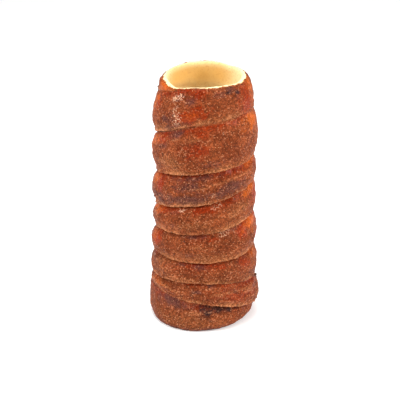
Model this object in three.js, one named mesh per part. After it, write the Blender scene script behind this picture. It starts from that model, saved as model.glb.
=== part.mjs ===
// Chimney cake: a strip of sweet yeast dough wound round a tapered spit, rolled in sugar and baked.
// The turns bake together, so the cake is one hollow loaf, open at both ends, that stands on its foot.
// Millimetres, +Z up, +Y away from the front. The origin is the centre of the foot.
import * as THREE from "three";
import { mergeVertices } from "three/addons/utils/BufferGeometryUtils.js";

// ---- Driving dimensions ----
const HEIGHT = 240; // foot to the middle of the rim
const RIM_TILT = 2.5; // the rim is this much higher at its highest side, and as much lower opposite
const RIM_HIGH_SIDE = 0.44; // where it is highest, in turns from the front towards +X

const BORE_FOOT = 38.5; // radius that the spit leaves at the foot
const BORE_RIM = 34.5; // and at the rim, because the spit is tapered to let the cake slide off

const CREST_FOOT = 53; // radius over the rounded turns at the foot
const CREST_MIDDLE = 49.6; // and from half height up
const SHOULDER_FALL = 7; // how far the last turn draws in to the rim
const SHOULDER_HEIGHT = 42; // over this height
const CREASE_DEPTH = 4.5; // from a turn's crest into the crease below it
const CREASE_FADE = 11; // a crease runs out over this height as it nears the rim or the foot

const FOOT_ROUND = 8; // how far the outside curves in to the foot
const FOOT_ROUND_HEIGHT = 13;
const FOOT_OVAL = 4.5; // the foot is longer than it is wide by this much each way
const FOOT_OVAL_SIDE = -0.1; // its long way, in turns from the front

// Height of the strip's lower edge every quarter turn, from below the foot to above the rim:
// back, left, front, right. Each row is one turn, and the edge climbs to the right at the front.
const EDGE_TURNS = [
  [-32, -24, -15, -3],
  [11, 25, 28, 16],
  [28, 41, 50, 41],
  [52, 65, 70, 73],
  [81, 90, 100, 105],
  [110, 115, 129, 137],
  [142, 147, 159, 168],
  [177, 186, 206, 212],
  [217, 221, 243, 250],
  [258, 266, 280, 290],
];
const EDGE_FIRST = -1.5; // the first height's place, in turns from the front

// ---- Mesh steps ----
const STEPS_AROUND = 60;
const ROWS_OUTSIDE = 60;
const ROWS_BORE = 6;

const CRUST_COLOUR = 0xa85a30;

// ---- The strip's edge ----
const edgePoints = EDGE_TURNS.flat().map((height, i) => new THREE.Vector2(i, height));
const edge = new THREE.SplineCurve(edgePoints);

function edgeHeight(turns) {
  const place = (turns - EDGE_FIRST) * 4;
  return edge.getPoint(place / (edgePoints.length - 1)).y;
}

// How far up its own turn of the strip a place is: 0 at the turn's lower edge and 1 at its upper one.
function shareOfTurn(side, z) {
  let lower = edgeHeight(side - 1);
  for (let turn = 0; turn < EDGE_TURNS.length - 1; turn++) {
    const upper = edgeHeight(side + turn);
    if (z < upper) return (z - lower) / (upper - lower);
    lower = upper;
  }
  return 0.5;
}

// ---- Radii ----
// side is in turns from the front, -0.5 to 0.5, and z is the height.
const wave = (turns) => Math.cos(2 * Math.PI * turns);

function rimHeight(side) {
  return HEIGHT + RIM_TILT * wave(side - RIM_HIGH_SIDE);
}

// A turn is fullest a little below its middle, because the dough sags over the turn below.
function belly(share) {
  const lean = Math.pow(THREE.MathUtils.clamp(share, 0, 1), 0.8);
  return Math.pow(Math.sin(Math.PI * lean), 0.6);
}

function crestRadius(side, z) {
  const down = THREE.MathUtils.clamp(1 - z / (HEIGHT / 2), 0, 1);
  const crest = CREST_MIDDLE + (CREST_FOOT - CREST_MIDDLE) * down;
  const up = THREE.MathUtils.clamp((z - rimHeight(side)) / SHOULDER_HEIGHT + 1, 0, 1);
  const low = THREE.MathUtils.clamp(1 - z / FOOT_ROUND_HEIGHT, 0, 1);
  const footFall = FOOT_ROUND - FOOT_OVAL * wave(2 * (side - FOOT_OVAL_SIDE));
  return crest - SHOULDER_FALL * Math.pow(up, 1.5) - footFall * (1 - Math.sqrt(1 - low ** 2));
}

function crustRadius(side, z) {
  const toEnd = Math.min(z, rimHeight(side) - z);
  const depth = CREASE_DEPTH * THREE.MathUtils.smoothstep(toEnd, 0, CREASE_FADE);
  return crestRadius(side, z) - depth * (1 - belly(shareOfTurn(side, z)));
}

function boreRadius(z) {
  return BORE_FOOT + (BORE_RIM - BORE_FOOT) * (z / HEIGHT);
}

// ---- The loaf ----
// A plain sleeve is turned first: x is 1 at the bore and 2 at the crust, y is 0 at the foot and 1 at
// the rim. Each of its points then moves to the radius and height that the wound strip has there.
function sleeveSection() {
  const outside = Array.from({ length: ROWS_OUTSIDE + 1 }, (_, i) => [2, i / ROWS_OUTSIDE]);
  const bore = Array.from({ length: ROWS_BORE + 1 }, (_, i) => [1, 1 - i / ROWS_BORE]);
  return [...outside, ...bore, outside[0]].map(([x, y]) => new THREE.Vector2(x, y));
}

function windStrip(sleeve) {
  const points = sleeve.getAttribute("position");
  for (let i = 0; i < points.count; i++) {
    const across = Math.hypot(points.getX(i), points.getY(i)) - 1;
    const angle = Math.atan2(points.getX(i), -points.getY(i));
    const side = angle / (2 * Math.PI);
    const z = points.getZ(i) * rimHeight(side);
    const bore = boreRadius(z);
    const radius = bore + (crustRadius(side, z) - bore) * across;
    points.setXYZ(i, radius * Math.sin(angle), -radius * Math.cos(angle), z);
  }
}

function setOnOrigin(geometry) {
  geometry.computeBoundingBox();
  const { min, max } = geometry.boundingBox;
  geometry.translate(-(min.x + max.x) / 2, -(min.y + max.y) / 2, -min.z);
}

function plainSleeve() {
  const sleeve = new THREE.LatheGeometry(sleeveSection(), STEPS_AROUND);
  sleeve.deleteAttribute("normal");
  sleeve.deleteAttribute("uv");
  return mergeVertices(sleeve.rotateX(Math.PI / 2));
}

function chimneyCake() {
  const geometry = plainSleeve();
  windStrip(geometry);
  setOnOrigin(geometry);
  geometry.computeVertexNormals();
  const crust = new THREE.MeshStandardMaterial({ color: CRUST_COLOUR, roughness: 0.6, metalness: 0 });
  const cake = new THREE.Mesh(geometry, crust);
  cake.name = "chimney_cake";
  return cake;
}

const root = new THREE.Group();
root.add(chimneyCake());

export default root;
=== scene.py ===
# %% [markdown]
# # A chimney cake
# A chimney cake is a long strip of sweet yeast dough. The baker winds it round a tapered wooden spit, rolls
# it in sugar and turns it over the heat until the turns have grown together and the sugar has melted into
# a brown crust. Slid off the spit, it is a hollow loaf that is dark and rough outside, and pale inside.
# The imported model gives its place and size. Everything here is worked out in millimetres and then scaled.

# %% Load the frame
import functools
import math
import random
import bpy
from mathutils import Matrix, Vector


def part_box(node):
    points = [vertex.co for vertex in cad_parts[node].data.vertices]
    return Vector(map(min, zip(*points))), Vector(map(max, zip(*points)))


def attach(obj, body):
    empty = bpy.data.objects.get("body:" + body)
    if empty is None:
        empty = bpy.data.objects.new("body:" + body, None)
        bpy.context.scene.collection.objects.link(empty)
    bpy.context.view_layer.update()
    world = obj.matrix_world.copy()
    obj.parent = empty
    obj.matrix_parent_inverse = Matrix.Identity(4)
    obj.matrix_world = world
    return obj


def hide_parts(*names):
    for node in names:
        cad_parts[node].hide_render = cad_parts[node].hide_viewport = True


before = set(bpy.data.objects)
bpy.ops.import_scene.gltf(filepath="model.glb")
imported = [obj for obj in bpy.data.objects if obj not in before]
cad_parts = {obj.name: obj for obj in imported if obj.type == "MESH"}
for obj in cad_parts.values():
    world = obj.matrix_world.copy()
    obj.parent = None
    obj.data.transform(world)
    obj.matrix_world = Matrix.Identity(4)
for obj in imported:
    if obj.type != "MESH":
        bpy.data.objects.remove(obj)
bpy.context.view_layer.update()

from types import SimpleNamespace

import bmesh
import bpy
from mathutils import Euler, Matrix, Vector, noise

MM = 0.001


def add_object(name, data):
    """Puts a mesh, a light or a camera in the scene, as an object at the origin."""
    thing = bpy.data.objects.new(name, data)
    bpy.context.scene.collection.objects.link(thing)
    return thing


foot_corner, rim_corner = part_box("chimney_cake")
TALL = (rim_corner.z - foot_corner.z) / MM
print(f"the cake is {TALL:.1f} mm tall")

# %% [markdown]
# ## Where the strip runs
# The seam is the strip's lower edge, which climbs to the right at the front. A hand-wound strip isn't even,
# so no formula gives its heights. They are a short table, with one row for each turn and four heights in
# each row, and a smooth curve runs through them. A second table of the same shape says how far the strip's
# lip stands open there, from 0, where it has grown into the turn below, to 1, where it overhangs, and a
# little past 1 where it gapes. Noise makes both uneven. The odd numbers in each noise below only choose
# which part of the endless noise is used, so that no two uses look alike.

# %% The seam's heights and lips
EDGE_TURNS = [  # back, left, front, right
    [-64, -56, -47, -40],
    [-32, -24, -15, -3],
    [11, 35, 29, 16],
    [28, 44, 50, 42],
    [53, 69, 70, 75],
    [82, 93, 100, 110],
    [111, 116, 129, 142],
    [143, 149, 159, 167],
    [178, 187, 206, 212],
    [218, 226, 246, 252],
    [258, 266, 280, 290],
    [296, 304, 318, 328],
]
LIP_TURNS = [
    [0.5, 0.5, 0.5, 0.5],
    [0.5, 0.5, 0.5, 0.6],
    [0.6, 0.1, 0.8, 1.3],
    [0.8, 1.0, 0.5, 0.8],
    [0.8, 1.1, 1.0, 0.9],
    [0.9, 1.4, 0.6, 0.9],
    [0.8, 1.3, 0.9, 0.9],
    [0.9, 1.2, 1.0, 0.7],
    [0.8, 1.1, 0.4, 0.4],
    [0.8, 0.3, 0.9, 0.6],
    [0.5, 0.5, 0.5, 0.5],
    [0.5, 0.5, 0.5, 0.5],
]
FIRST_PLACE = -2.5  # the first entry's place along the strip, in turns from the front
FIRST_TURN = -1  # the turn of the strip that the foot cuts through
LAST_TURN = 7  # and the turn that ends in the rim
EDGE_WANDER = 0.9  # how far the strip's edge wanders from the smooth curve, in mm
print(f"the tables hold {len(EDGE_TURNS)} turns")

# %% Read the tables at any place
def end_to_end(table):
    return [value for row in table for value in row]


def along(values, place):
    """Smooth value of an end-to-end table at a place along the strip, in turns from the front."""
    step = (place - FIRST_PLACE) * 4
    i = min(max(int(step), 1), len(values) - 3)
    x = step - i
    before, start, end, after = values[i - 1:i + 3]
    bend = (2 * start - 2 * end + (end - before) / 2 + (after - start) / 2) * x ** 3
    sweep = (3 * end - 3 * start - (end - before) - (after - start) / 2) * x ** 2
    return bend + sweep + (end - before) / 2 * x + start


edge_heights = end_to_end(EDGE_TURNS)
lip_openings = end_to_end(LIP_TURNS)


@functools.lru_cache(maxsize=None)  # many points ask for the same height, so it is worked out once
def rounded_edge_height(place):
    wander = noise.noise(Vector((place * 9, 0, 3.7))) + 0.5 * noise.noise(Vector((place * 31, 0, 8.1)))
    return along(edge_heights, place) + EDGE_WANDER * wander


def edge_height(place):
    """Height of the seam, in mm."""
    return rounded_edge_height(round(place, 4))


def lip_open(place):
    uneven = 0.3 * noise.noise(Vector((place * 7, 5.3, 0)))
    return min(max(along(lip_openings, place) + uneven, 0.05), 1.5)


print(f"the strip climbs {edge_height(7) - edge_height(0):.0f} mm in 7 turns at the front")

# %% [markdown]
# ## Radii
# These are the main radii of the loaf: the tapered bore that the spit leaves, the crest over the rounded
# turns, the shoulder that draws in to the rim and the round of the foot. They are within a fraction of a
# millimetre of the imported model's. A real rim is never even, so this one also sags in a few short dents
# and is pressed in at two sides, as it was when the cake was slid off the spit.

# %% Small helpers
def wave(turns):
    return math.cos(2 * math.pi * turns)


def clamp(x, low=0.0, high=1.0):
    return min(max(x, low), high)


def smooth(x, start, end):
    """0 up to start and 1 from end, with a soft step between them."""
    x = clamp((x - start) / (end - start))
    return x * x * (3 - 2 * x)


def on_circle(side, radius, z):
    """The point on this side, in turns from the front, at a radius and a height in mm."""
    angle = 2 * math.pi * side
    return Vector((radius * math.sin(angle), -radius * math.cos(angle), z)) * MM


def side_of(point):
    return math.atan2(point.x, -point.y) / (2 * math.pi)


print(f"a quarter turn from the front is at {on_circle(0.25, 50, 0).x:.3f} m in x")

# %% The rim
RIM_TILT = 2.5
RIM_HIGH_SIDE = 0.44  # where the rim is highest, in turns from the front towards +X
RIM_MIDDLE = TALL - RIM_TILT
RIM_DENTS = [  # the trimmed edge sags here: side, half width in turns, depth
    (-0.14, 0.045, 2.4),
    (-0.09, 0.045, 1.5),
    (0.17, 0.06, 2.2),
    (0.38, 0.05, 1.4),
]
SAG_HEIGHT = 24  # a dent in the rim is felt this far down
RIM_PRESSES = [  # and the rim is pressed in here: side, half width in turns, depth
    (-0.31, 0.10, 4.2),
    (0.34, 0.09, 3.2),
]
PRESS_HEIGHT = 18  # a press is felt this far down


def rim_height(side):
    return RIM_MIDDLE + RIM_TILT * wave(side - RIM_HIGH_SIDE)


def turns_from(side, middle):
    """How far a side is from another, the short way round, in turns."""
    return (side - middle + 0.5) % 1 - 0.5


def with_dents(depth_here, side, dents):
    for middle, half_width, depth in dents:
        depth_here += depth * math.exp(-(turns_from(side, middle) / half_width) ** 2)
    return depth_here


def rim_sag(side):
    """How far the rim sags below its trimmed edge, in mm."""
    sag = 0.4 * noise.noise(on_circle(side, 6, 0) / MM) + 0.3 * noise.noise(on_circle(side, 20, 5) / MM)
    return with_dents(sag, side, RIM_DENTS)


def rim_press(side):
    """How far the rim is pressed in, in mm."""
    return with_dents(0, side, RIM_PRESSES)


def sagged(side, z):
    return z - rim_sag(side) * smooth(z, rim_height(side) - SAG_HEIGHT, rim_height(side))


print(f"the rim sags {rim_sag(0.17):.1f} mm at the right")

# %% Main radii
BORE_FOOT = 38.5
BORE_RIM = 34.5
CREST_FOOT = 53
CREST_MIDDLE = 49.8  # from half height up
SHOULDER_FALL = 7
SHOULDER_HEIGHT = 42
RIM_ROUND = 2.4  # how far the crust curves in to the rim
RIM_ROUND_HEIGHT = 4.5
FOOT_ROUND = 8  # and in to the foot
FOOT_ROUND_HEIGHT = 13
FOOT_OVAL = 4.5  # the foot is longer than it is wide by this much each way
FOOT_OVAL_SIDE = -0.1


def bore_radius(z):
    return BORE_FOOT + (BORE_RIM - BORE_FOOT) * z / RIM_MIDDLE


def crest_radius(side, z):
    crest = CREST_MIDDLE + (CREST_FOOT - CREST_MIDDLE) * clamp(1 - z / (RIM_MIDDLE / 2))
    below_rim = rim_height(side) - z
    shoulder = SHOULDER_FALL * clamp(1 - below_rim / SHOULDER_HEIGHT) ** 1.5
    edge = RIM_ROUND * (1 - math.sqrt(1 - clamp(1 - below_rim / RIM_ROUND_HEIGHT) ** 2))
    shoulder += rim_press(side) * smooth(-below_rim, -PRESS_HEIGHT, 0)
    low = clamp(1 - z / FOOT_ROUND_HEIGHT)
    foot = FOOT_ROUND - FOOT_OVAL * wave(2 * (side - FOOT_OVAL_SIDE))
    return crest - shoulder - edge - foot * (1 - math.sqrt(1 - low ** 2))


print(f"the bore is {2 * bore_radius(RIM_MIDDLE):.0f} mm across at the rim")

# %% [markdown]
# ## Winding the strip
# The rows of the mesh should follow the strip, so that its creases and lips stay crisp. So the strip is
# wound as a real one is: a short upright line, as tall as one turn, is spun once round the spit and climbs
# by its own height. Copies of that turn are stacked end to end and merged where they meet, which gives an
# even screw. Then each point moves to the height that it has on the uneven cake, still on one radius.

# %% Wind an even screw
STEPS_AROUND = 330
ROWS_IN_TURN = 24
PITCH = 27.0
LIP_CROWD = 1.35  # above 1, the rows stand closer together near the lower edge
MERGE_WITHIN = 0.05  # points of two turns that are this close are one point

cake_mesh = bmesh.new()
line = [cake_mesh.verts.new((0, -CREST_MIDDLE * MM, row * PITCH / ROWS_IN_TURN * MM))
        for row in range(ROWS_IN_TURN + 1)]
rungs = [cake_mesh.edges.new(pair) for pair in zip(line, line[1:])]
bmesh.ops.spin(
    cake_mesh,
    geom=line + rungs,
    cent=(0, 0, 0),
    axis=(0, 0, 1),
    dvec=(0, 0, PITCH / STEPS_AROUND * MM),
    angle=2 * math.pi,
    steps=STEPS_AROUND,
)
one_turn = cake_mesh.verts[:] + cake_mesh.edges[:] + cake_mesh.faces[:]
for turn in range(FIRST_TURN - 1, LAST_TURN + 1):
    if turn != 0:
        copy = bmesh.ops.duplicate(cake_mesh, geom=one_turn)
        moved = [part for part in copy["geom"] if isinstance(part, bmesh.types.BMVert)]
        bmesh.ops.translate(cake_mesh, verts=moved, vec=(0, 0, turn * PITCH * MM))
bmesh.ops.remove_doubles(cake_mesh, verts=cake_mesh.verts, dist=MERGE_WITHIN * MM)
print(f"the even screw has {len(cake_mesh.faces)} faces")

# %% Move its rows to the uneven seams
ROUNDING = 0.001  # a point that rounding has left this share of a turn below a seam is still on it


def uneven_height(point):
    side = side_of(point)
    climbed = point.z / MM / PITCH - side
    turn = math.floor(climbed + ROUNDING)
    share = max(0, climbed - turn) ** LIP_CROWD
    lower = edge_height(side + turn)
    return lower + share * (edge_height(side + turn + 1) - lower)


for vert in cake_mesh.verts:
    vert.co.z = uneven_height(vert.co) * MM
heights = [vert.co.z / MM for vert in cake_mesh.verts]
print(f"the uneven screw runs from {min(heights):.0f} to {max(heights):.0f} mm")

# %% [markdown]
# ## Cutting the foot and the rim
# The screw runs on below the foot and above the rim, as a strip does before it is trimmed. Two bisecting
# planes trim it while it is still smooth, so that each cut is one clean loop: a level one for the foot to
# stand on, and a slightly tilted one for the rim. Points that the cut left very close together are merged.

# %% Trim
tilt_angle = 2 * math.pi * RIM_HIGH_SIDE
rim_slope = RIM_TILT / CREST_MIDDLE
rim_normal = Vector((-rim_slope * math.sin(tilt_angle), rim_slope * math.cos(tilt_angle), 1))
ON_THE_CUT = 0.01  # a point this close to a cut is on it
CUT_MERGE = 0.25  # and two corners of the cut that are this close become one


def trim(point, normal, clear_outer, clear_inner):
    cut = bmesh.ops.bisect_plane(
        cake_mesh,
        geom=cake_mesh.verts[:] + cake_mesh.edges[:] + cake_mesh.faces[:],
        dist=ON_THE_CUT * MM,
        plane_co=point,
        plane_no=normal,
        clear_outer=clear_outer,
        clear_inner=clear_inner,
    )
    corners = [part for part in cut["geom_cut"] if isinstance(part, bmesh.types.BMVert)]
    bmesh.ops.remove_doubles(cake_mesh, verts=corners, dist=CUT_MERGE * MM)


trim((0, 0, 0), (0, 0, 1), clear_outer=False, clear_inner=True)
trim((0, 0, RIM_MIDDLE * MM), rim_normal, clear_outer=True, clear_inner=False)
outside = cake_mesh.faces[:]
ends = [edge for edge in cake_mesh.edges if edge.is_boundary]
foot_loop = [edge for edge in ends if edge.verts[0].co.z < RIM_MIDDLE / 2 * MM]
rim_loop = [edge for edge in ends if edge.verts[0].co.z > RIM_MIDDLE / 2 * MM]
print(f"the foot's edge has {len(foot_loop)} steps and the rim's has {len(rim_loop)}")

# %% [markdown]
# ## Folds in the dough
# Beside the seam, the strip has pleats of its own, where the dough was pressed over itself. Each is a short
# line along the strip. Its points are places along the strip, in turns from the front, and shares of the
# turn's height. The dough stands proud along the line and drops back above it, as under a small lip.

# %% Folds
FOLDS = [
    ((4.80, 0.97), (4.85, 0.90), (4.90, 0.80), (4.96, 0.75), (5.02, 0.77)),
    ((3.93, 0.56), (4.00, 0.61), (4.05, 0.66), (4.10, 0.70), (4.16, 0.72), (4.22, 0.80)),
    ((-0.17, 0.95), (-0.13, 0.68), (-0.09, 0.52), (-0.04, 0.46)),
    ((0.00, 0.60), (0.04, 0.59), (0.09, 0.68), (0.15, 0.78), (0.22, 0.85)),
    ((0.86, 0.22), (0.91, 0.27), (0.95, 0.26), (1.00, 0.14)),
    ((2.34, 0.40), (2.45, 0.52), (2.60, 0.55), (2.68, 0.70)),
    ((5.30, 0.75), (5.42, 0.66), (5.55, 0.68)),
    ((1.40, 0.60), (1.52, 0.45), (1.60, 0.42)),
    ((4.40, 0.30), (4.50, 0.38), (4.58, 0.36), (4.66, 0.45)),
    ((6.36, 0.55), (6.50, 0.62), (6.62, 0.60)),
]
FOLD_PROUD = 1.0  # how proud the dough stands along a fold
FOLD_DROP = 1.1  # and how far it drops back above it
FOLD_END = 0.04  # a fold runs out over this many turns at each end
FOLD_BELOW = 8  # a fold is felt this far below its line
FOLD_ABOVE = 14  # this far above it
FOLD_BESIDE = 6  # and this far past its ends
ARC_OF_TURN = 2 * math.pi * CREST_MIDDLE


def fold_relief(place, share, turn_height):
    """How proud the dough stands, in mm, and how close the place is to a fold's lip, from 0 to 1."""
    proud = 0
    lip = 0
    for fold in FOLDS:
        first, last = fold[0][0], fold[-1][0]
        if not first - 0.03 < place < last + 0.03:
            continue
        for start, end in zip(fold, fold[1:]):
            x = clamp((place - start[0]) / (end[0] - start[0]))
            off = (place - start[0] - x * (end[0] - start[0])) * ARC_OF_TURN
            above = (share - start[1] - x * (end[1] - start[1])) * turn_height
            if abs(off) > FOLD_BESIDE or not -FOLD_BELOW < above < FOLD_ABOVE:
                continue
            run_out = smooth(place, first, first + FOLD_END) * smooth(-place, -last, FOLD_END - last)
            near = math.exp(-(off / 2) ** 2) * run_out
            ridge = math.exp(-((above + 1.6) / 2.4) ** 2) * FOLD_PROUD
            drop = smooth(above, -0.6, 0.6) * (1 - smooth(above, 3, 13)) * FOLD_DROP
            if abs(off) < 0.01 or near * ridge > abs(proud):
                proud = near * (ridge - drop)
            lip = max(lip, near * math.exp(-((above + 0.7) / 1.0) ** 2))
    return proud, lip


print(f"{len(FOLDS)} folds lie along the strip")

# %% [markdown]
# ## Swellings and hollows
# The dough also swells or sinks in a few larger places, where the baker pressed it or where it rose more.
# Each is given by its place along the strip, its share of the turn's height, its reach both ways and how
# far it stands out, in mm. The biggest pair is at the foot, where one turn overhangs the one under it.

# %% Swellings
SWELLINGS = [  # place, share of the turn's height, half length in turns, half height, how proud
    (5.75, 0.50, 0.06, 0.35, -1.6),
    (4.75, 0.20, 0.06, 0.30, -2.0),
    (2.75, 0.35, 0.06, 0.50, -1.6),
    (5.25, 0.15, 0.06, 0.20, 1.6),
    (4.25, 0.50, 0.06, 0.40, -1.0),
    (0.22, 0.10, 0.09, 0.40, 2.8),
    (-0.80, 0.60, 0.15, 0.90, -3.8),
    (-0.25, 0.50, 0.07, 0.90, -1.6),
    (-1.25, 0.95, 0.07, 0.25, 1.5),
    (3.55, 0.50, 0.08, 0.40, 1.4),
    (1.45, 0.40, 0.07, 0.40, -1.5),
    (5.50, 0.60, 0.08, 0.40, -1.4),
]


def swelling(place, share):
    out = 0
    for centre, middle, half_length, half_height, proud in SWELLINGS:
        if abs(place - centre) < 3 * half_length:
            away = ((place - centre) / half_length) ** 2 + ((share - middle) / half_height) ** 2
            out += proud * math.exp(-away)
    return out


print(f"the dough swells or sinks in {len(SWELLINGS)} places")

# %% [markdown]
# ## Marks of the fire
# The sugar melts unevenly. Where it pooled it is bright, smooth caramel, and where it is thinner it is a
# lighter amber. The same amber is laid on the upper shoulders of the turns at the left and right, as a
# painted highlight. Nearer the heat it scorched to a purple brown, and in a few places it burnt almost
# black.
# Dry sugar leaves a dull tan dusting, and thick lumps of it stay glassy, with pale painted highlights on
# them as glints. In some patches the skin of the dough is wrinkled. Each mark is an oval on the strip, so a
# short row of numbers is enough for it.

# %% Marks placed one by one
MARKS = {  # place, share of the turn's height, half length in turns, half height as a share, strength
    "caramel": [
        (6.84, 0.20, 0.05, 0.30, 1.0), (5.95, 0.90, 0.085, 0.06, 0.9), (5.82, 0.72, 0.022, 0.20, 0.8),
        (5.96, 0.28, 0.044, 0.18, 1.0), (5.98, 0.72, 0.035, 0.16, 0.9), (6.16, 0.34, 0.040, 0.50, 0.7),
        (4.85, 0.86, 0.034, 0.13, 1.0),
        (4.98, 0.50, 0.042, 0.18, 0.6), (4.99, 0.84, 0.030, 0.07, 0.7), (3.84, 0.75, 0.026, 0.26, 1.0),
        (4.13, 0.93, 0.022, 0.08, 1.0), (2.85, 0.85, 0.030, 0.17, 1.0), (3.00, 0.84, 0.042, 0.13, 0.8),
        (2.14, 0.80, 0.030, 0.22, 1.0), (1.82, 0.69, 0.022, 0.30, 0.9), (2.03, 0.81, 0.022, 0.06, 0.7),
        (1.05, 0.80, 0.030, 0.12, 0.6), (1.14, 0.74, 0.032, 0.23, 0.6), (0.10, 0.45, 0.09, 0.40, 0.5),
    ],
    # Many of the amber marks sit on the upper shoulders of the turns at the left and right, as a painted
    # highlight where light falls from above.
    "amber_and_highlight": [
        (5.96, 0.27, 0.030, 0.12, 0.45), (6.84, 0.14, 0.060, 0.26, 1.0), (-0.18, 0.60, 0.070, 0.40, 0.5),
        (5.78, 0.72, 0.045, 0.24, 0.8), (5.19, 0.82, 0.050, 0.20, 1.0),
        (4.78, 0.80, 0.060, 0.15, 1.0), (4.20, 0.90, 0.045, 0.14, 1.0), (3.79, 0.78, 0.032, 0.22, 0.9),
        (3.18, 0.88, 0.060, 0.14, 1.0), (2.78, 0.84, 0.065, 0.17, 1.0), (2.19, 0.82, 0.045, 0.22, 1.0),
        (1.79, 0.74, 0.036, 0.20, 0.7), (6.21, 0.60, 0.030, 0.50, 0.7), (1.20, 0.84, 0.040, 0.14, 0.6),
    ],
    "scorch": [
        (3.95, 0.62, 0.070, 0.16, 0.8), (5.96, 0.62, 0.022, 0.14, 0.8), (5.87, 0.31, 0.040, 0.12, 0.8),
        (6.095, 0.68, 0.018, 0.06, 1.0),
        (6.05, 0.60, 0.028, 0.10, 0.7), (5.90, 0.08, 0.050, 0.07, 0.9), (4.91, 0.89, 0.030, 0.08, 1.0),
        (4.86, 0.66, 0.036, 0.06, 0.7), (5.03, 0.18, 0.052, 0.11, 0.6), (3.98, 0.87, 0.093, 0.10, 0.8),
        (4.09, 0.38, 0.052, 0.26, 0.8), (3.98, 0.41, 0.022, 0.11, 0.6), (3.93, 0.20, 0.130, 0.22, 1.0),
        (2.90, 0.35, 0.016, 0.08, 0.6), (1.96, 0.30, 0.030, 0.10, 0.6), (0.93, 0.85, 0.020, 0.09, 0.9),
        (0.99, 0.79, 0.028, 0.13, 0.8), (0.02, 0.94, 0.016, 0.10, 0.9), (-0.02, 0.61, 0.018, 0.10, 0.9),
        (-1.10, 0.93, 0.075, 0.17, 1.0), (1.97, 0.91, 0.050, 0.07, 0.7),
    ],
    "burnt": [
        (-0.990, 0.80, 0.020, 0.20, 1.0), (-0.95, 0.90, 0.060, 0.10, 0.8), (6.08, 0.62, 0.030, 0.04, 0.8),
        (6.12, 0.60, 0.016, 0.04, 0.9),
    ],
    "lump": [
        (5.905, 0.78, 0.022, 0.08, 1.0), (5.91, 0.34, 0.013, 0.20, 0.8), (5.06, 0.78, 0.006, 0.04, 0.5),
        (4.03, 0.27, 0.010, 0.10, 0.45), (3.04, 0.87, 0.018, 0.07, 0.9), (2.93, 0.89, 0.012, 0.06, 0.8),
        (2.07, 0.92, 0.026, 0.08, 1.0),
    ],
    "wrinkle": [
        (0.08, 0.45, 0.150, 0.60, 1.0), (0.84, 0.50, 0.060, 0.50, 0.8), (-1.02, 0.80, 0.080, 0.30, 0.8),
        (1.97, 0.50, 0.080, 0.40, 0.6), (4.16, 0.50, 0.050, 0.40, 0.7), (-0.85, 0.40, 0.080, 0.40, 0.6),
    ],
    "dust": [
        (4.88, 0.28, 0.050, 0.18, 0.9), (3.11, 0.52, 0.050, 0.30, 0.8), (0.85, 0.50, 0.050, 0.50, 0.5),
        (2.00, 0.22, 0.120, 0.20, 0.7), (3.95, 0.22, 0.100, 0.14, 0.4), (-1.05, 0.55, 0.160, 0.20, 0.6),
        (-0.20, 0.50, 0.070, 0.40, 0.9), (2.96, 0.30, 0.080, 0.22, 0.6),
    ],
}
print({kind: len(marks) for kind, marks in MARKS.items()})

# %% [markdown]
# The sides away from the front get marks of the same kinds. A random generator with a fixed seed strews
# them, so that they fall in the same places every time. Each point of the crust then asks how strong each
# kind of mark is where it stands. To answer quickly, the marks are sorted by the turns that they touch.

# %% Marks strewn round the back
SIZE_OF_STREWN = {  # half length and half height of a strewn mark, and how many there are in each turn
    "caramel": (0.040, 0.22, 5),
    "amber_and_highlight": (0.035, 0.18, 3),
    "scorch": (0.045, 0.14, 6),
    "burnt": (0.014, 0.08, 1),
    "lump": (0.010, 0.07, 3),
    "wrinkle": (0.070, 0.40, 2),
    "dust": (0.060, 0.22, 4),
}
FRONT_HALF = 0.21  # the strewn marks keep this far from the front, in turns

strew = random.Random(12)
for kind, (half_length, half_height, count) in SIZE_OF_STREWN.items():
    for turn in range(FIRST_TURN, LAST_TURN + 1):
        for _ in range(count):
            place = turn + strew.uniform(FRONT_HALF, 1 - FRONT_HALF)
            share = strew.uniform(0.05, 0.95)
            grow = strew.uniform(0.5, 1.4)
            strength = strew.uniform(0.35, 0.8)
            MARKS[kind].append((place, share, half_length * grow, half_height * grow, strength))


print({kind: len(marks) for kind, marks in MARKS.items()})

# %% Ask how strong a mark is
MARK_REACH = 2.4  # a ragged mark reaches this many times its half length
SOLID = 0.2  # it is at full strength out to this share of its half length
FADE = 1.3  # and fades over this much more

marks_on_turn = {(kind, turn): [] for kind in MARKS for turn in range(FIRST_TURN - 1, LAST_TURN + 2)}
for kind, marks in MARKS.items():
    for mark in marks:
        first = math.floor(mark[0] - MARK_REACH * mark[2])
        last = math.floor(mark[0] + MARK_REACH * mark[2])
        for turn in range(first, last + 1):
            marks_on_turn[kind, turn].append(mark)


def mark_strength(kind, place, share, ragged):
    strongest = 0
    for centre, middle, half_length, half_height, strength in marks_on_turn[kind, math.floor(place)]:
        along_strip = (place - centre) / half_length
        up_strip = (share - middle) / half_height
        if abs(along_strip) < MARK_REACH and abs(up_strip) < MARK_REACH:
            reach = math.hypot(along_strip, up_strip) + ragged
            strongest = max(strongest, strength * (1 - clamp((reach - SOLID) / FADE)))
    return strongest


print(f"the caramel is {mark_strength('caramel', 5.96, 0.28, 0):.1f} strong at place 5.96, share 0.28")

# %% [markdown]
# ## Shaping the turns
# From where a point stands comes its place along the strip and its share of the way up its turn, and from
# these its radius. A turn is fullest a little below its middle. At its lower edge the lip hangs down over
# a narrow crack. Soft noise on top makes the dough lumpy, in three sizes of lump. The masks for the colours
# are worked out at the same time and kept on the points as named layers, so that colour and relief agree.

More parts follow.
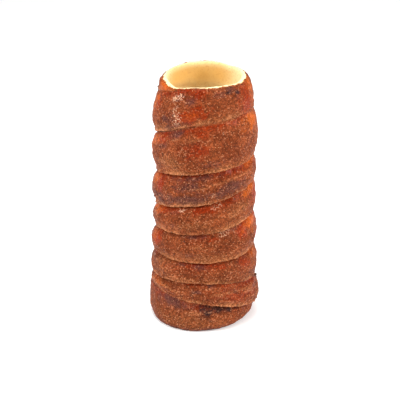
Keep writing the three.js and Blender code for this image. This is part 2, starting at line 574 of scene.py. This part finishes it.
# %% Where a point stands on the strip
VALLEY = 6.0  # from a turn's crest in to its seams
BELLY_ROUND = 0.78  # lower is flatter in the middle and steeper at the seams
LIP_HANG = 1.4  # how far the lip droops
LIP_REACH = 1.5  # how far above the seam the lip hangs most
LIP_PROUD = 1.2
CRACK = 1.3  # how deep the crack under the lip is
CRACK_WIDE = 0.6
TUCK = 1.1  # how much the dough draws in just under the lip
FOOT_FADE = 9  # creases run out over this height near the foot
RIM_FADE = 5  # and near the rim
SEAM_SNAP = 0.05  # a point this close to a seam is on it
WRINKLE_DEEP = 1.1  # from the crest to the trough of a wrinkle
WRINKLE_WIDE = 2.6


def place_on_strip(side, z):
    """The place along the strip, in turns, and the heights of the seams below and above it."""
    place = side + FIRST_TURN - 1
    lower = edge_height(place)
    upper = edge_height(place + 1)
    while z > upper - SEAM_SNAP:
        place += 1
        lower = upper
        upper = edge_height(place + 1)
    return place, lower, upper


def find_spot(side, z):
    """Everything about a point that its radius and its masks both need."""
    place, lower, upper = place_on_strip(side, z)
    spot = SimpleNamespace(side=side, z=z, place=place)
    spot.above = max(z - lower, 0)
    spot.below = upper - z
    spot.share = spot.above / (upper - lower)
    spot.fade = smooth(z, 0, FOOT_FADE) * (0.3 + 0.7 * smooth(rim_height(side) - z, 0, RIM_FADE))
    spot.open_below = lip_open(place) * spot.fade
    spot.open_above = lip_open(place + 1) * spot.fade
    spot.hang = math.exp(-((spot.above - LIP_REACH) / 1.5) ** 2)
    spot.crack = math.exp(-(spot.above / CRACK_WIDE) ** 2)
    spot.fold, spot.fold_lip = fold_relief(place, spot.share, upper - lower)
    ripples = noise.noise(Vector((place * 16, (spot.above + 3 * place) / WRINKLE_WIDE, 2.2)))
    spot.wrinkle = ripples * mark_strength("wrinkle", place, spot.share, 0)
    return spot


print(f"half way up the front is at place {find_spot(0, TALL / 2).place:.0f} along the strip")

# %% The relief of a turn
def lumps(point, stretch=1.8):
    """Lumpiness of the dough, in mm. The lumps are longer along the strip than across it."""
    spot = Vector((point.x, point.y, point.z * stretch)) / MM
    large = noise.noise(spot / 30)
    middle = noise.noise(spot / 9 + Vector((40, 0, 0)))
    small = noise.noise(spot / 3.4 + Vector((0, 40, 0)))
    return 0.9 * large + 0.7 * middle + 0.5 * small


def turn_radius(spot):
    """The radius of the crust before its lumps and wrinkles, in mm."""
    lean = spot.share ** 0.85
    belly = math.sin(math.pi * min(lean, 1)) ** BELLY_ROUND
    openness = spot.open_below + (spot.open_above - spot.open_below) * spot.share
    valley = VALLEY * (0.25 + 0.75 * openness)
    tuck = math.exp(-(spot.below / 3) ** 2)
    crest = crest_radius(spot.side, spot.z) + swelling(spot.place, spot.share)
    radius = crest - valley * (1 - belly) * spot.fade
    lip = spot.open_below * (LIP_PROUD * spot.hang - CRACK * spot.crack)
    return radius + (lip - spot.open_above * TUCK * tuck + spot.fold * spot.fade)


def lip_drop(spot):
    """How far the lip droops here, in mm. The foot's cut edge stays level."""
    if spot.z < ON_THE_CUT:
        return 0
    ragged_hang = LIP_HANG * (1 + 0.5 * noise.noise(Vector((spot.place * 55, 0, 4.4))))
    return ragged_hang * spot.open_below * spot.hang


print(f"the front is {turn_radius(find_spot(0, TALL / 2)):.1f} mm from the axis half way up")

# %% The masks of a turn
DUST_HIGH = 8  # dry sugar lies along the foot of each turn, this high
MELT_AND_SHADE_HIGH = 8  # and melted sugar under the lip above it, deepened there as painted shade
FOOT_SHADE_HIGH = 4.5  # painted shade darkens the foot's edge about this high, where it meets the floor

MASKS = ("caramel", "amber_and_highlight", "scorch", "burnt", "lump", "dust", "lip", "crack", "crust", "baked")
layers = {name: cake_mesh.verts.layers.float.new(name) for name in MASKS}
unrolled = cake_mesh.verts.layers.float.new("unrolled")


def keep_masks(vert, looks):
    for name in MASKS:
        vert[layers[name]] = looks.get(name, 0)


def crust_looks(spot, point):
    place, share, above, below = spot.place, spot.share, spot.above, spot.below
    ragged = 0.7 * noise.noise(point / MM / 6) + 0.4 * noise.noise(point / MM / 2.3)
    looks = {kind: mark_strength(kind, place, share, ragged) for kind in MARKS if kind in MASKS}
    patches = noise.noise(Vector((place * 11, share * 2, 1.7)))
    dusted = (0.55 + 0.7 * patches) * math.exp(-(above / DUST_HIGH) ** 2)
    # Painted shade: under each lip the top of the turn below takes deep red caramel, partly melted sugar and
    # partly the lip's shadow.
    melt_and_painted_light = (0.45 - 0.8 * patches) * math.exp(-(below / MELT_AND_SHADE_HIGH) ** 2)
    looks["dust"] = max(looks["dust"], dusted)
    looks["caramel"] = max(looks["caramel"], melt_and_painted_light)
    # Painted shade: the scorch mask darkens the foot's edge, where it meets the floor.
    looks["scorch"] = max(looks["scorch"], 0.8 * math.exp(-(spot.z / (FOOT_SHADE_HIGH + 3 * ragged)) ** 2))
    # The pale lip is partly bare dough at the lip's edge and partly a painted highlight where that edge
    # catches the light. Folds and the crests of wrinkles get the same painted highlight.
    lip_patchiness = 0.75 + 0.5 * patches + 0.9 * noise.noise(Vector((place * 34, share * 4, 7.1)))
    lip = 0.7 * math.exp(-((above - 1.5) / 1.1) ** 2) + 0.35 * math.exp(-((above - 2) / 4) ** 2)
    lip_edge_and_highlight = (0.3 + 0.7 * min(spot.open_below, 1)) * lip * lip_patchiness
    looks["lip"] = max(lip_edge_and_highlight, 0.55 * spot.fold_lip, 1.3 * spot.wrinkle)
    # Painted shade: the crack under each lip, the strip just under the lip above and the troughs of wrinkles
    # are darkened.
    shade_under_lip = 0.6 * spot.open_above * math.exp(-(below / 1.2) ** 2)
    looks["crack"] = min(1, max(spot.open_below * spot.crack, shade_under_lip, -spot.wrinkle))
    looks["crust"] = 1
    return looks


print(f"{len(MASKS)} masks are kept on the points")

# %% Shape the turns
def shape_point(vert):
    """Moves a point of the screw onto the crust and keeps its masks."""
    spot = find_spot(side_of(vert.co), vert.co.z / MM)
    radius = turn_radius(spot)
    point = on_circle(spot.side, radius, spot.z)
    radius += lumps(point) + WRINKLE_DEEP * spot.wrinkle * spot.fade
    vert[unrolled] = spot.z
    vert.co = on_circle(spot.side, radius, sagged(spot.side, spot.z - lip_drop(spot)))
    keep_masks(vert, crust_looks(spot, point))


for vert in cake_mesh.verts:
    shape_point(vert)
print(f"shaped {len(cake_mesh.verts)} points")

# %% [markdown]
# ## Rim and bore
# The rim and the bore never met the sugar, so they are bare crumb, browned a little on one side. The rim's
# edge loop is extruded inwards in a few steps over a soft round, and then down the tapered bore to the
# foot, in steps that grow a little longer. There it is bridged to the outside, which closes the mesh.

# %% The surfaces of the rim and the bore
RIM_CROWN = 0.7  # how far the rim bulges above its trimmed edge
RIM_FLARE = 0.4  # the rim ends this far outside the bore
BORE_SEAM = 0.9  # how deep the turns' seam shows inside
TEAR = 0.6  # how rough the torn crumb of the rim is
BROWNED_SIDE = 0.53  # the heat has browned the crumb most on this side, in turns from the front
BROWNED_FULLY = 0.10  # it is fully browned this far to each side of that, in turns
BROWNED_AT_ALL = 0.22  # and not at all from here on


def browned(side):
    """How much the heat has browned the crumb: 1 near the back and 0 at the front."""
    return 1 - smooth(abs(turns_from(side, BROWNED_SIDE)), BROWNED_FULLY, BROWNED_AT_ALL)


def over_rim(side, old, across, steps_left):
    """A point of the rim and its masks. across runs from 0 at the crust to 1 at the bore."""
    radius = math.hypot(old.x, old.y) / MM
    radius += (bore_radius(RIM_MIDDLE) + RIM_FLARE - radius) / steps_left
    spot = on_circle(side, radius, 0) / MM
    torn = TEAR * (noise.noise(spot / 2.6) + 0.6 * noise.noise(spot / 1.1))
    torn *= math.sin(math.pi * min(across, 0.9))
    crown = RIM_CROWN * math.sin(math.pi * across)
    crust_reach = 0.16 + 0.15 * browned(side) + 0.3 * noise.noise(spot / 5) + 0.2 * noise.noise(spot / 1.7)
    looks = {"crust": 1 - smooth(across, crust_reach - 0.12, crust_reach + 0.25), "lip": 0.5}
    looks["baked"] = browned(side) * 0.6 * smooth(across, 0.6, 1)
    return on_circle(side, radius, rim_height(side) - rim_sag(side) + crown + torn), looks


def down_bore(side, share_down):
    """A point of the bore and its masks. share_down runs from 0 at the rim to 1 at the foot."""
    z = rim_height(side) * (1 - share_down)
    spot = on_circle(side, BORE_RIM, z) / MM
    swell = 0.5 * noise.noise(spot / 16) + 0.2 * noise.noise(spot / 5)
    place, lower, upper = place_on_strip(side, z)
    ends = smooth(z, 0, 12), smooth(rim_height(side) - z, 3, 12)
    seam = math.exp(-(min(z - lower, upper - z) / 2.2) ** 2) * ends[0] * ends[1]
    radius = bore_radius(z) + (swell + BORE_SEAM * seam) * (1 - share_down ** 6)
    # Painted shade: a faint brown line along the seam's groove.
    looks = {"crack": seam * clamp(0.7 + noise.noise(spot / 9))}
    below_rim = smooth(rim_height(side) - z, 0, 6)
    looks["baked"] = max(0.6 * browned(side), below_rim) * (0.1 + 0.9 * browned(side))
    return on_circle(side, radius, sagged(side, z)), looks


print(f"the back of the bore is browned {browned(0.5):.1f} and the front {browned(0):.1f}")

# %% Extrude the rim and the bore
RIM_STEPS = 7
BORE_STEPS = 66


def extrude_inwards(loop, place_point):
    """Extrudes an edge loop once. place_point(side, old point) gives each new point and its masks."""
    grown = bmesh.ops.extrude_edge_only(cake_mesh, edges=loop)["geom"]
    for vert in grown:
        if isinstance(vert, bmesh.types.BMVert):
            vert.co, looks = place_point(side_of(vert.co), vert.co)
            keep_masks(vert, looks)
    return [part for part in grown if isinstance(part, bmesh.types.BMEdge) and part.is_boundary]


rim_faces_from = len(cake_mesh.faces)
loop = rim_loop
for step in range(1, RIM_STEPS + 1):
    across = step / RIM_STEPS
    loop = extrude_inwards(loop, lambda side, old: over_rim(side, old, across, RIM_STEPS - step + 1))
rim_faces = cake_mesh.faces[rim_faces_from:]

for step in range(1, BORE_STEPS + 1):
    share_down = (step / BORE_STEPS) ** 1.1
    loop = extrude_inwards(loop, lambda side, old: down_bore(side, share_down))
bore_faces = cake_mesh.faces[rim_faces_from + len(rim_faces):]

bridge = bmesh.ops.bridge_loops(cake_mesh, edges=foot_loop + loop)
foot_faces = bridge["faces"]
print(f"rim {len(rim_faces)}, bore {len(bore_faces)} and foot {len(foot_faces)} faces")

# %% [markdown]
# ## Laying the surface out flat
# Other programs paint a model from a flat image, so the surface is laid out flat here, in bands: the crust
# takes the lower part of the square, the bore comes above it, and the rim and the foot are thin bands at the
# top. Each band is cut at the back.

# %% Lay out the bands
BANDS = {  # each band's lowest and highest place on the flat square
    "crust": (0.005, 0.66),
    "bore": (0.67, 0.90),
    "rim": (0.91, 0.95),
    "foot": (0.955, 0.995),
}
MAP_EDGE = 0.003  # a bare strip left at each side of the square
flat_map = cake_mesh.loops.layers.uv.new("OFBake")


def lay_out(faces, band, share_up):
    low, high = BANDS[band]
    for face in faces:
        middle = side_of(face.calc_center_median())
        for corner in face.loops:
            side = side_of(corner.vert.co)
            side += round(middle - side)
            across = MAP_EDGE + (1 - 2 * MAP_EDGE) * (side + 0.5)
            corner[flat_map].uv = (across, low + (high - low) * clamp(share_up(corner.vert)))


def out_from_bore(vert):
    return (math.hypot(vert.co.x, vert.co.y) / MM - BORE_RIM) / (CREST_FOOT - BORE_RIM)


lay_out(outside, "crust", lambda vert: vert[unrolled] / TALL)
lay_out(bore_faces, "bore", lambda vert: vert.co.z / MM / TALL)
lay_out(rim_faces, "rim", out_from_bore)
lay_out(foot_faces, "foot", out_from_bore)
print(f"laid out {len(cake_mesh.faces)} faces in {len(BANDS)} bands")

# %% Make the cake an object
bmesh.ops.recalc_face_normals(cake_mesh, faces=cake_mesh.faces)
cake_mesh.normal_update()
crust_spots = []  # for each point of the crust, its place, its normal and how much sugar has melted there
for vert in {vert for face in outside for vert in face.verts}:
    # These masks of melted sugar also carry painted shade under the lips and painted highlights on the
    # shoulders.
    melt_and_painted_light = max(vert[layers["caramel"]], vert[layers["amber_and_highlight"]])
    crust_spots.append((vert.co.copy(), vert.normal.copy(), melt_and_painted_light))
crust_spots.sort(key=lambda spot: tuple(spot[0]))  # their order in the mesh isn't the same every time
for face in cake_mesh.faces:
    face.smooth = True
cake_data = bpy.data.meshes.new("sugared_loaf")
cake_mesh.to_mesh(cake_data)
cake_mesh.free()
cake = add_object("sugared_loaf", cake_data)
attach(cake, "root")
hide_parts("chimney_cake")
print(f"the loaf has {len(cake_data.polygons)} faces")

# %% [markdown]
# ## Whole grains
# Most of the sugar melts, but some coarse grains and crumbs of nut stay whole and stand out of the crust.
# There are thousands, so each is the simplest round solid there is, an icosphere of 20 faces, turned at
# random, flattened and half sunk. Fewer lie where the sugar has melted. They are made in small batches,
# because each operator looks through the whole mesh it works on. Every grain has a tone, kept on its
# points, and its own small cell of the flat map.

# %% Choose the grains
GRAIN_COUNT = 5000
CRUMB_COUNT = 40  # the first of them are crumbs of nut, which are larger
HIGH_ENOUGH = 2  # no strewn grain lies lower than this above the foot's cut
strew_grains = random.Random(5)


def next_spot():
    while True:
        middle, normal, melt_and_painted_light = strew_grains.choice(crust_spots)
        if strew_grains.random() > melt_and_painted_light and middle.z > HIGH_ENOUGH * MM:
            return middle, normal


def choose_grain(number):
    """The place, size in mm and tone of a grain. The very first is one large burnt crumb."""
    if number == 0:
        return on_circle(0.236, 50.5, 40.2), 1.7, 0.0
    middle, normal = next_spot()
    if number < CRUMB_COUNT:
        return middle + normal * 0.2 * MM, strew_grains.uniform(0.8, 1.2), strew_grains.uniform(0.0, 0.4)
    return middle, 0.25 + 0.4 * strew_grains.random() ** 2.5, strew_grains.random()


print(f"the grains choose among {len(crust_spots)} points of the crust")

# %% Strew the grains
BATCH = 250
GRAIN_FACES = 20
CELLS_ACROSS = math.ceil(math.sqrt(GRAIN_COUNT))  # of the flat map, one cell for each grain
CELL_FILL = 0.4  # a grain reaches this share of its cell each way

grains_mesh = bmesh.new()
grain_data = bpy.data.meshes.new("whole_grains")
for first in range(0, GRAIN_COUNT, BATCH):
    batch = bmesh.new()
    tone = batch.verts.layers.float.new("tone")
    grain_map = batch.loops.layers.uv.new("OFBake")
    middles = []
    for number in range(first, first + BATCH):
        middle, size, shade = choose_grain(number)
        turned = Euler([strew_grains.uniform(0, 2 * math.pi) for _ in range(3)])
        flattened = Vector((1, strew_grains.uniform(0.7, 1), strew_grains.uniform(0.6, 0.9))) * size * MM
        placed = Matrix.LocRotScale(middle, turned, flattened)
        grain = bmesh.ops.create_icosphere(batch, subdivisions=1, radius=1, matrix=placed)
        for vert in grain["verts"]:
            vert[tone] = shade
        middles.append((middle, size))
    for index, face in enumerate(batch.faces):
        middle, size = middles[index // GRAIN_FACES]
        down, across = divmod(first + index // GRAIN_FACES, CELLS_ACROSS)
        for corner in face.loops:
            out = (corner.vert.co - middle) / (size * MM)
            u = (across + 0.5 + CELL_FILL * out.x) / CELLS_ACROSS
            v = (down + 0.5 + CELL_FILL * out.z) / CELLS_ACROSS
            corner[grain_map].uv = (u, v)
    batch.to_mesh(grain_data)
    batch.free()
    grains_mesh.from_mesh(grain_data)
grains_mesh.to_mesh(grain_data)
grains_mesh.free()
grains = add_object("whole_grains", grain_data)
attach(grains, "root")
print(f"{GRAIN_COUNT} grains have {len(grain_data.polygons)} faces")

# %% [markdown]
# ## Helpers for materials
# A material is a small network of nodes. These helpers keep the network short to write: one adds a node and
# wires its inputs, and the others each add one common node, such as a mix of two colours, a stretch of a
# value from one range to another, or a mask read from the points.

# %% Node helpers
def add_node(tree, kind, inputs=None, **settings):
    """Adds a node, applies its settings and fills its inputs with values or with other nodes' outputs."""
    node = tree.nodes.new("ShaderNode" + kind)
    for name, value in settings.items():
        setattr(node, name, value)
    for name, value in (inputs or {}).items():
        socket = node.inputs[name]
        if isinstance(value, bpy.types.NodeSocket):
            tree.links.new(value, socket)
        else:
            socket.default_value = value
    return node


def mix_colour(tree, amount, first, second, blend="MIX"):
    node = add_node(tree, "Mix", {0: amount, 6: first, 7: second}, data_type="RGBA", blend_type=blend)
    return node.outputs[2]


def stretch(tree, value, from_low, from_high, to_low=0.0, to_high=1.0):
    inputs = {0: value, 1: from_low, 2: from_high, 3: to_low, 4: to_high}
    return add_node(tree, "MapRange", inputs, interpolation_type="SMOOTHSTEP").outputs[0]


def combine(tree, operation, first, second=0.0):
    return add_node(tree, "Math", {0: first, 1: second}, operation=operation).outputs[0]


def times(tree, first, second):
    return combine(tree, "MULTIPLY", first, second)


def mask(tree, name):
    return add_node(tree, "Attribute", attribute_name=name).outputs["Fac"]


def noise_at(tree, place, scale, detail=2.0):
    node = add_node(tree, "TexNoise", {"Vector": place, "Scale": scale, "Detail": detail})
    return node.outputs["Fac"]


def srgb(red, green, blue):
    """A colour given as a painter mixes it, from 0 to 255, in the linear values that Blender works in."""
    linear = [((c / 255 + 0.055) / 1.055) ** 2.4 if c > 10 else c / 255 / 12.92 for c in (red, green, blue)]
    return (*linear, 1.0)


def new_material(name):
    material = bpy.data.materials.new(name)
    material.use_nodes = True
    return material, material.node_tree, material.node_tree.nodes["Principled BSDF"]


print(f"a middle grey is {srgb(128, 128, 128)[0]:.3f} in linear values")

# %% [markdown]
# ## Grains of sugar
# Both the crust and the whole grains on it are broken up by fine grains, so this effect is a node group,
# built once and placed in each material with its own scale. A Voronoi texture fits it well, because each
# of its cells has one random colour, for the grain's shade, and a distance to its middle, for its bulge.

# %% Make the grain group
def make_grain_group():
    """A group that breaks a surface into grains. Each has one shade, from 0 to 1, and a rounded height."""
    group = bpy.data.node_groups.new("sugar_grain", "ShaderNodeTree")
    group.interface.new_socket("Place", in_out="INPUT", socket_type="NodeSocketVector")
    group.interface.new_socket("Scale", in_out="INPUT", socket_type="NodeSocketFloat")
    group.interface.new_socket("Shade", in_out="OUTPUT", socket_type="NodeSocketFloat")
    group.interface.new_socket("Height", in_out="OUTPUT", socket_type="NodeSocketFloat")
    given = group.nodes.new("NodeGroupInput").outputs
    made = group.nodes.new("NodeGroupOutput").inputs
    cells = add_node(group, "TexVoronoi", {"Vector": given["Place"], "Scale": given["Scale"]}).outputs
    group.links.new(add_node(group, "SeparateColor", {0: cells["Color"]}).outputs[0], made["Shade"])
    group.links.new(stretch(group, cells["Distance"], 0.0, 0.7, 1.0, 0.0), made["Height"])
    return group


grain_group = make_grain_group()


def grain_at(tree, place, scale):
    return add_node(tree, "Group", {"Place": place, "Scale": scale}, node_tree=grain_group).outputs


print(f"the group {grain_group.name} has {len(grain_group.nodes)} nodes")

# %% [markdown]
# ## The crust's colours
# The crust starts as an even brown with softer and darker clouds and thin streaks along the strip, and it is
# darker and browner towards the foot, as painted shade. The masks then lay dust, caramel, amber, scorch,
# burnt spots, pale lips and dark cracks over it, one after another, as a painter glazes. The caramel under
# each lip and the dark cracks are partly painted shade, and the amber on the turns' shoulders and the pale
# lips are partly painted highlights. Then the fine grains make it lighter and darker, less so where the
# sugar has melted, and pale squiggles cross the glassy lumps as painted glints.

# %% Colour the crust
GRAINS = 960  # sugar grains to the metre
DARKEST_GRAIN = 0.52  # of the colour under it
LIGHTEST_GRAIN = 1.42
GLAZES = (  # mask, where it starts and is full, how much it covers, colour
    ("dust", 0.10, 1.0, 0.60, srgb(150, 92, 56)),
    # caramel: melted sugar, deepened under each lip as painted shade
    ("caramel", 0.05, 0.8, 0.95, srgb(140, 40, 4)),
    # amber: thinner melted sugar, and a painted highlight on the turns' shoulders
    ("amber_and_highlight", 0.00, 1.2, 0.85, srgb(206, 98, 32)),
    ("scorch", 0.10, 0.9, 0.80, srgb(92, 54, 48)),
    ("burnt", 0.10, 0.9, 0.92, srgb(48, 32, 34)),
    # lip: bare dough at the lip's edge, and a painted highlight where it catches the light
    ("lip", 0.05, 1.0, 0.60, srgb(206, 132, 86)),
    # crack: painted shade in the creases under the lips
    ("crack", 0.10, 0.9, 0.70, srgb(72, 32, 18)),
)


def uneven_mask(tree, name, roughen, low, high):
    """A mask with its soft edge broken up by roughen, a noise from 0 to 1."""
    wobble = stretch(tree, roughen, 0.25, 0.75, -0.2, 0.2)
    amount = times(tree, stretch(tree, mask(tree, name), 0, 0.25), wobble)
    return stretch(tree, combine(tree, "ADD", mask(tree, name), amount), low, high)


def crust_colour(tree, place, cell_shade, roughen, painted_glints):
    clouds = stretch(tree, noise_at(tree, place, 55, 4), 0.36, 0.64)
    colour = mix_colour(tree, clouds, srgb(122, 56, 29), srgb(146, 72, 39))
    flat = add_node(tree, "VectorMath", {0: place, 1: (1, 1, 5)}, operation="MULTIPLY").outputs[0]
    streaks = stretch(tree, noise_at(tree, flat, 60, 5), 0.4, 0.7)
    colour = mix_colour(tree, times(tree, streaks, 0.24), colour, srgb(104, 50, 30))
    # Painted shade: the crust turns darker and browner towards the foot, where less light reaches.
    height = add_node(tree, "SeparateXYZ", {0: place}).outputs["Z"]
    shade_towards_foot = stretch(tree, height, 0.13, 0.04, 0.0, 0.18)
    colour = mix_colour(tree, shade_towards_foot, colour, srgb(96, 50, 32))
    for name, low, high, strength, tint in GLAZES:
        amount = times(tree, uneven_mask(tree, name, roughen, low, high), strength)
        colour = mix_colour(tree, amount, colour, tint)
    shade = stretch(tree, cell_shade, 0, 1, DARKEST_GRAIN, LIGHTEST_GRAIN)
    grain = add_node(tree, "CombineColor", {0: shade, 1: shade, 2: shade})
    melt_and_painted_light = combine(tree, "MAXIMUM", mask(tree, "caramel"), mask(tree, "amber_and_highlight"))
    dry = stretch(tree, melt_and_painted_light, 0.2, 1.0, 1.0, 0.65)
    colour = mix_colour(tree, dry, colour, grain.outputs[0], "MULTIPLY")
    light_grains = times(tree, stretch(tree, cell_shade, 0.88, 0.98), 0.35)
    colour = mix_colour(tree, times(tree, light_grains, dry), colour, srgb(218, 154, 114))
    # Painted glints: pale squiggles laid over the lumps.
    return mix_colour(tree, painted_glints, colour, srgb(250, 196, 156))


print(f"{len(GLAZES)} glazes lie over the brown")

# %% [markdown]
# ## The crumb's colours
# The bare crumb is a pale yellow with soft clouds and fine pores. Close under the rim it is browned to gold
# on one side, and further down the bore it is pale again. Along the seam's groove inside, a faint brown line
# is painted shade.

# %% Colour the crumb
BROWN_ENDS = (12, 34)  # the browning goes pale between these depths below the top


def crumb_colour(tree, place):
    height = add_node(tree, "SeparateXYZ", {0: place}).outputs["Z"]
    colour = mix_colour(tree, mask(tree, "baked"), srgb(255, 242, 190), srgb(236, 184, 104))
    depth = stretch(tree, height, (TALL - BROWN_ENDS[0]) * MM, (TALL - BROWN_ENDS[1]) * MM)
    colour = mix_colour(tree, depth, colour, srgb(255, 240, 192))
    clouds = stretch(tree, noise_at(tree, place, 60, 4), 0.35, 0.65)
    colour = mix_colour(tree, times(tree, clouds, 0.2), colour, srgb(240, 200, 132))
    pores = stretch(tree, noise_at(tree, place, 700, 2), 0.55, 0.75)
    colour = mix_colour(tree, times(tree, pores, 0.22), colour, srgb(206, 150, 84))
    return mix_colour(tree, times(tree, mask(tree, "crack"), 0.5), colour, srgb(172, 104, 46))


print(f"the crumb is pale again {BROWN_ENDS[1]} mm below the top")

# %% [markdown]
# ## The loaf's material
# One material covers the loaf, because the crust fades into bare crumb at the rim: a mask that is 1 on the
# crust and 0 on the crumb mixes the two, with a torn edge. The same mask keeps the grains' bumps off the
# crumb and makes it duller. Melted sugar is glossier, under a thin coat. The gloss is tinted a warm orange
# and kept low, because the sugar's own grains scatter most of it.

# %% Make the loaf's material
def make_loaf_material():
    material, tree, surface = new_material("sugar_crust")
    place = add_node(tree, "TexCoord").outputs["Object"]
    cells = grain_at(tree, place, GRAINS)
    roughen = noise_at(tree, place, 620, 3)
    # Painted highlights: pale squiggles on the glassy lumps stand in for glints of light on the sugar.
    ridges = combine(tree, "ABSOLUTE", combine(tree, "SUBTRACT", noise_at(tree, place, 330, 2), 0.5))
    on_lump = stretch(tree, mask(tree, "lump"), 0.1, 0.5)
    painted_glints = times(tree, stretch(tree, ridges, 0.04, 0.0), on_lump)

    torn_edge = stretch(tree, roughen, 0.3, 0.7, -0.25, 0.25)
    crust = combine(tree, "ADD", mask(tree, "crust"), torn_edge)
    crusted = stretch(tree, crust, 0.45, 0.65)
    toasting = stretch(tree, crust, 0.1, 0.45)
    toasted = mix_colour(tree, toasting, crumb_colour(tree, place), srgb(214, 150, 88))
    sugared = crust_colour(tree, place, cells["Shade"], roughen, painted_glints)
    colour = mix_colour(tree, crusted, toasted, sugared)
    tree.links.new(colour, surface.inputs["Base Color"])

    gloss = stretch(tree, noise_at(tree, place, 300, 3), 0.3, 0.7, 0.45, 0.7)
    melt_and_painted_light = combine(tree, "MAXIMUM", times(tree, mask(tree, "caramel"), 0.5), mask(tree, "lump"))
    roughness = combine(tree, "SUBTRACT", gloss, times(tree, melt_and_painted_light, 0.2))
    crumb_dullness = times(tree, combine(tree, "SUBTRACT", 1.0, crusted), 0.4)
    tree.links.new(combine(tree, "ADD", roughness, crumb_dullness), surface.inputs["Roughness"])
    tree.links.new(times(tree, melt_and_painted_light, 0.25), surface.inputs["Coat Weight"])
    surface.inputs["Coat Roughness"].default_value = 0.25

    ripple = times(tree, noise_at(tree, place, 260, 4), 0.5)
    height = combine(tree, "ADD", times(tree, cells["Height"], crusted), ripple)
    bump = add_node(tree, "Bump", {"Height": height, "Strength": 0.8, "Distance": 0.5 * MM})
    tree.links.new(bump.outputs["Normal"], surface.inputs["Normal"])
    surface.inputs["Specular IOR Level"].default_value = 0.08
    surface.inputs["Specular Tint"].default_value = (1.0, 0.62, 0.38, 1.0)
    return material


cake_data.materials.append(make_loaf_material())
print(f"the loaf's material has {len(cake_data.materials[0].node_tree.nodes)} nodes")

# %% [markdown]
# ## The grains' material
# The whole grains share the crust's grain, set much finer. Their tone runs from dark caramel over amber to
# pale sugar, and they are glossier than the crust, so that a few of them glint.

# %% Make the grains' material
FINE_GRAINS = 2400  # to the metre


def make_grains_material():
    material, tree, surface = new_material("coarse_sugar")
    place = add_node(tree, "TexCoord").outputs["Object"]
    tone = mask(tree, "tone")
    colour = mix_colour(tree, stretch(tree, tone, 0.0, 0.6), srgb(66, 34, 26), srgb(168, 86, 42))
    colour = mix_colour(tree, stretch(tree, tone, 0.6, 1.0), colour, srgb(222, 152, 100))
    fine = grain_at(tree, place, FINE_GRAINS)
    clouds = stretch(tree, fine["Shade"], 0, 1, 0.0, 0.4)
    colour = mix_colour(tree, clouds, colour, srgb(112, 50, 24))
    tree.links.new(colour, surface.inputs["Base Color"])
    roughness = stretch(tree, noise_at(tree, place, 900), 0.3, 0.7, 0.25, 0.5)
    tree.links.new(roughness, surface.inputs["Roughness"])
    bump = add_node(tree, "Bump", {"Height": fine["Height"], "Strength": 0.6, "Distance": 0.15 * MM})
    tree.links.new(bump.outputs["Normal"], surface.inputs["Normal"])
    surface.inputs["Specular IOR Level"].default_value = 0.3
    surface.inputs["Specular Tint"].default_value = (1.0, 0.8, 0.65, 1.0)
    return material


grain_data.materials.append(make_grains_material())
print(f"the grains' material has {len(grain_data.materials[0].node_tree.nodes)} nodes")

# %% [markdown]
# ## Floor, lights and camera
# The cake stands on a plain white floor in soft studio light: two large soft boxes at the front, left and
# right, one overhead that reaches into the bore, and a white surround that fills the shadows. The floor
# glows faintly, so that it stays white, and the camera looks down a little, far enough to see into the bore.

# %% Set the floor
FLOOR_HALF = 4.0
floor_mesh = bmesh.new()
bmesh.ops.create_grid(floor_mesh, x_segments=1, y_segments=1, size=FLOOR_HALF)
floor_data = bpy.data.meshes.new("floor")
floor_mesh.to_mesh(floor_data)
floor_mesh.free()
floor = add_object("floor", floor_data)
floor_material, floor_tree, floor_surface = new_material("white_floor")
floor_place = add_node(floor_tree, "TexCoord").outputs["Object"]
floor_clouds = noise_at(floor_tree, floor_place, 6)
floor_shade = mix_colour(floor_tree, floor_clouds, srgb(246, 246, 245), srgb(250, 250, 249))
floor_tree.links.new(floor_shade, floor_surface.inputs["Base Color"])
floor_surface.inputs["Roughness"].default_value = 0.8
floor_surface.inputs["Emission Color"].default_value = (1, 1, 1, 1)
floor_surface.inputs["Emission Strength"].default_value = 0.25
floor_data.materials.append(floor_material)
print(f"the floor is {2 * FLOOR_HALF:.0f} m across")

# %% Light the scene
world = bpy.data.worlds.new("studio")
world.use_nodes = True
world.node_tree.nodes["Background"].inputs["Color"].default_value = (1, 1, 1, 1)
world.node_tree.nodes["Background"].inputs["Strength"].default_value = 0.5
bpy.context.scene.world = world
aim_point = Vector((0, 0, RIM_MIDDLE / 2 * MM))


def soft_box(name, place, size, watts):
    light = bpy.data.lights.new(name, "AREA")
    light.size = size
    light.energy = watts
    box = add_object(name, light)
    box.location = place
    box.rotation_euler = (aim_point - Vector(place)).to_track_quat("-Z", "Y").to_euler()
    print(f"the {name} soft box is {size} m across")


soft_box("left", (-1.5, -0.45, 0.9), 0.5, 16)
soft_box("right", (1.5, -0.4, 0.9), 0.5, 20)
soft_box("overhead", (-0.1, -0.25, 1.5), 0.9, 14)

# %% Place the camera
CAMERA_FROM = Vector((0, -1.167, 0.568))
CAMERA_AIM = Vector((-0.0038, 0, 0.1159))
camera_data = bpy.data.cameras.new("camera")
camera_data.sensor_width = 36
camera_data.lens = 117.7
camera = add_object("camera", camera_data)
camera.location = CAMERA_FROM
camera.rotation_euler = (CAMERA_AIM - CAMERA_FROM).to_track_quat("-Z", "Y").to_euler()
bpy.context.scene.camera = camera
bpy.context.scene.view_settings.view_transform = "Standard"
print(f"the camera is {(CAMERA_FROM - CAMERA_AIM).length:.2f} m from the cake")
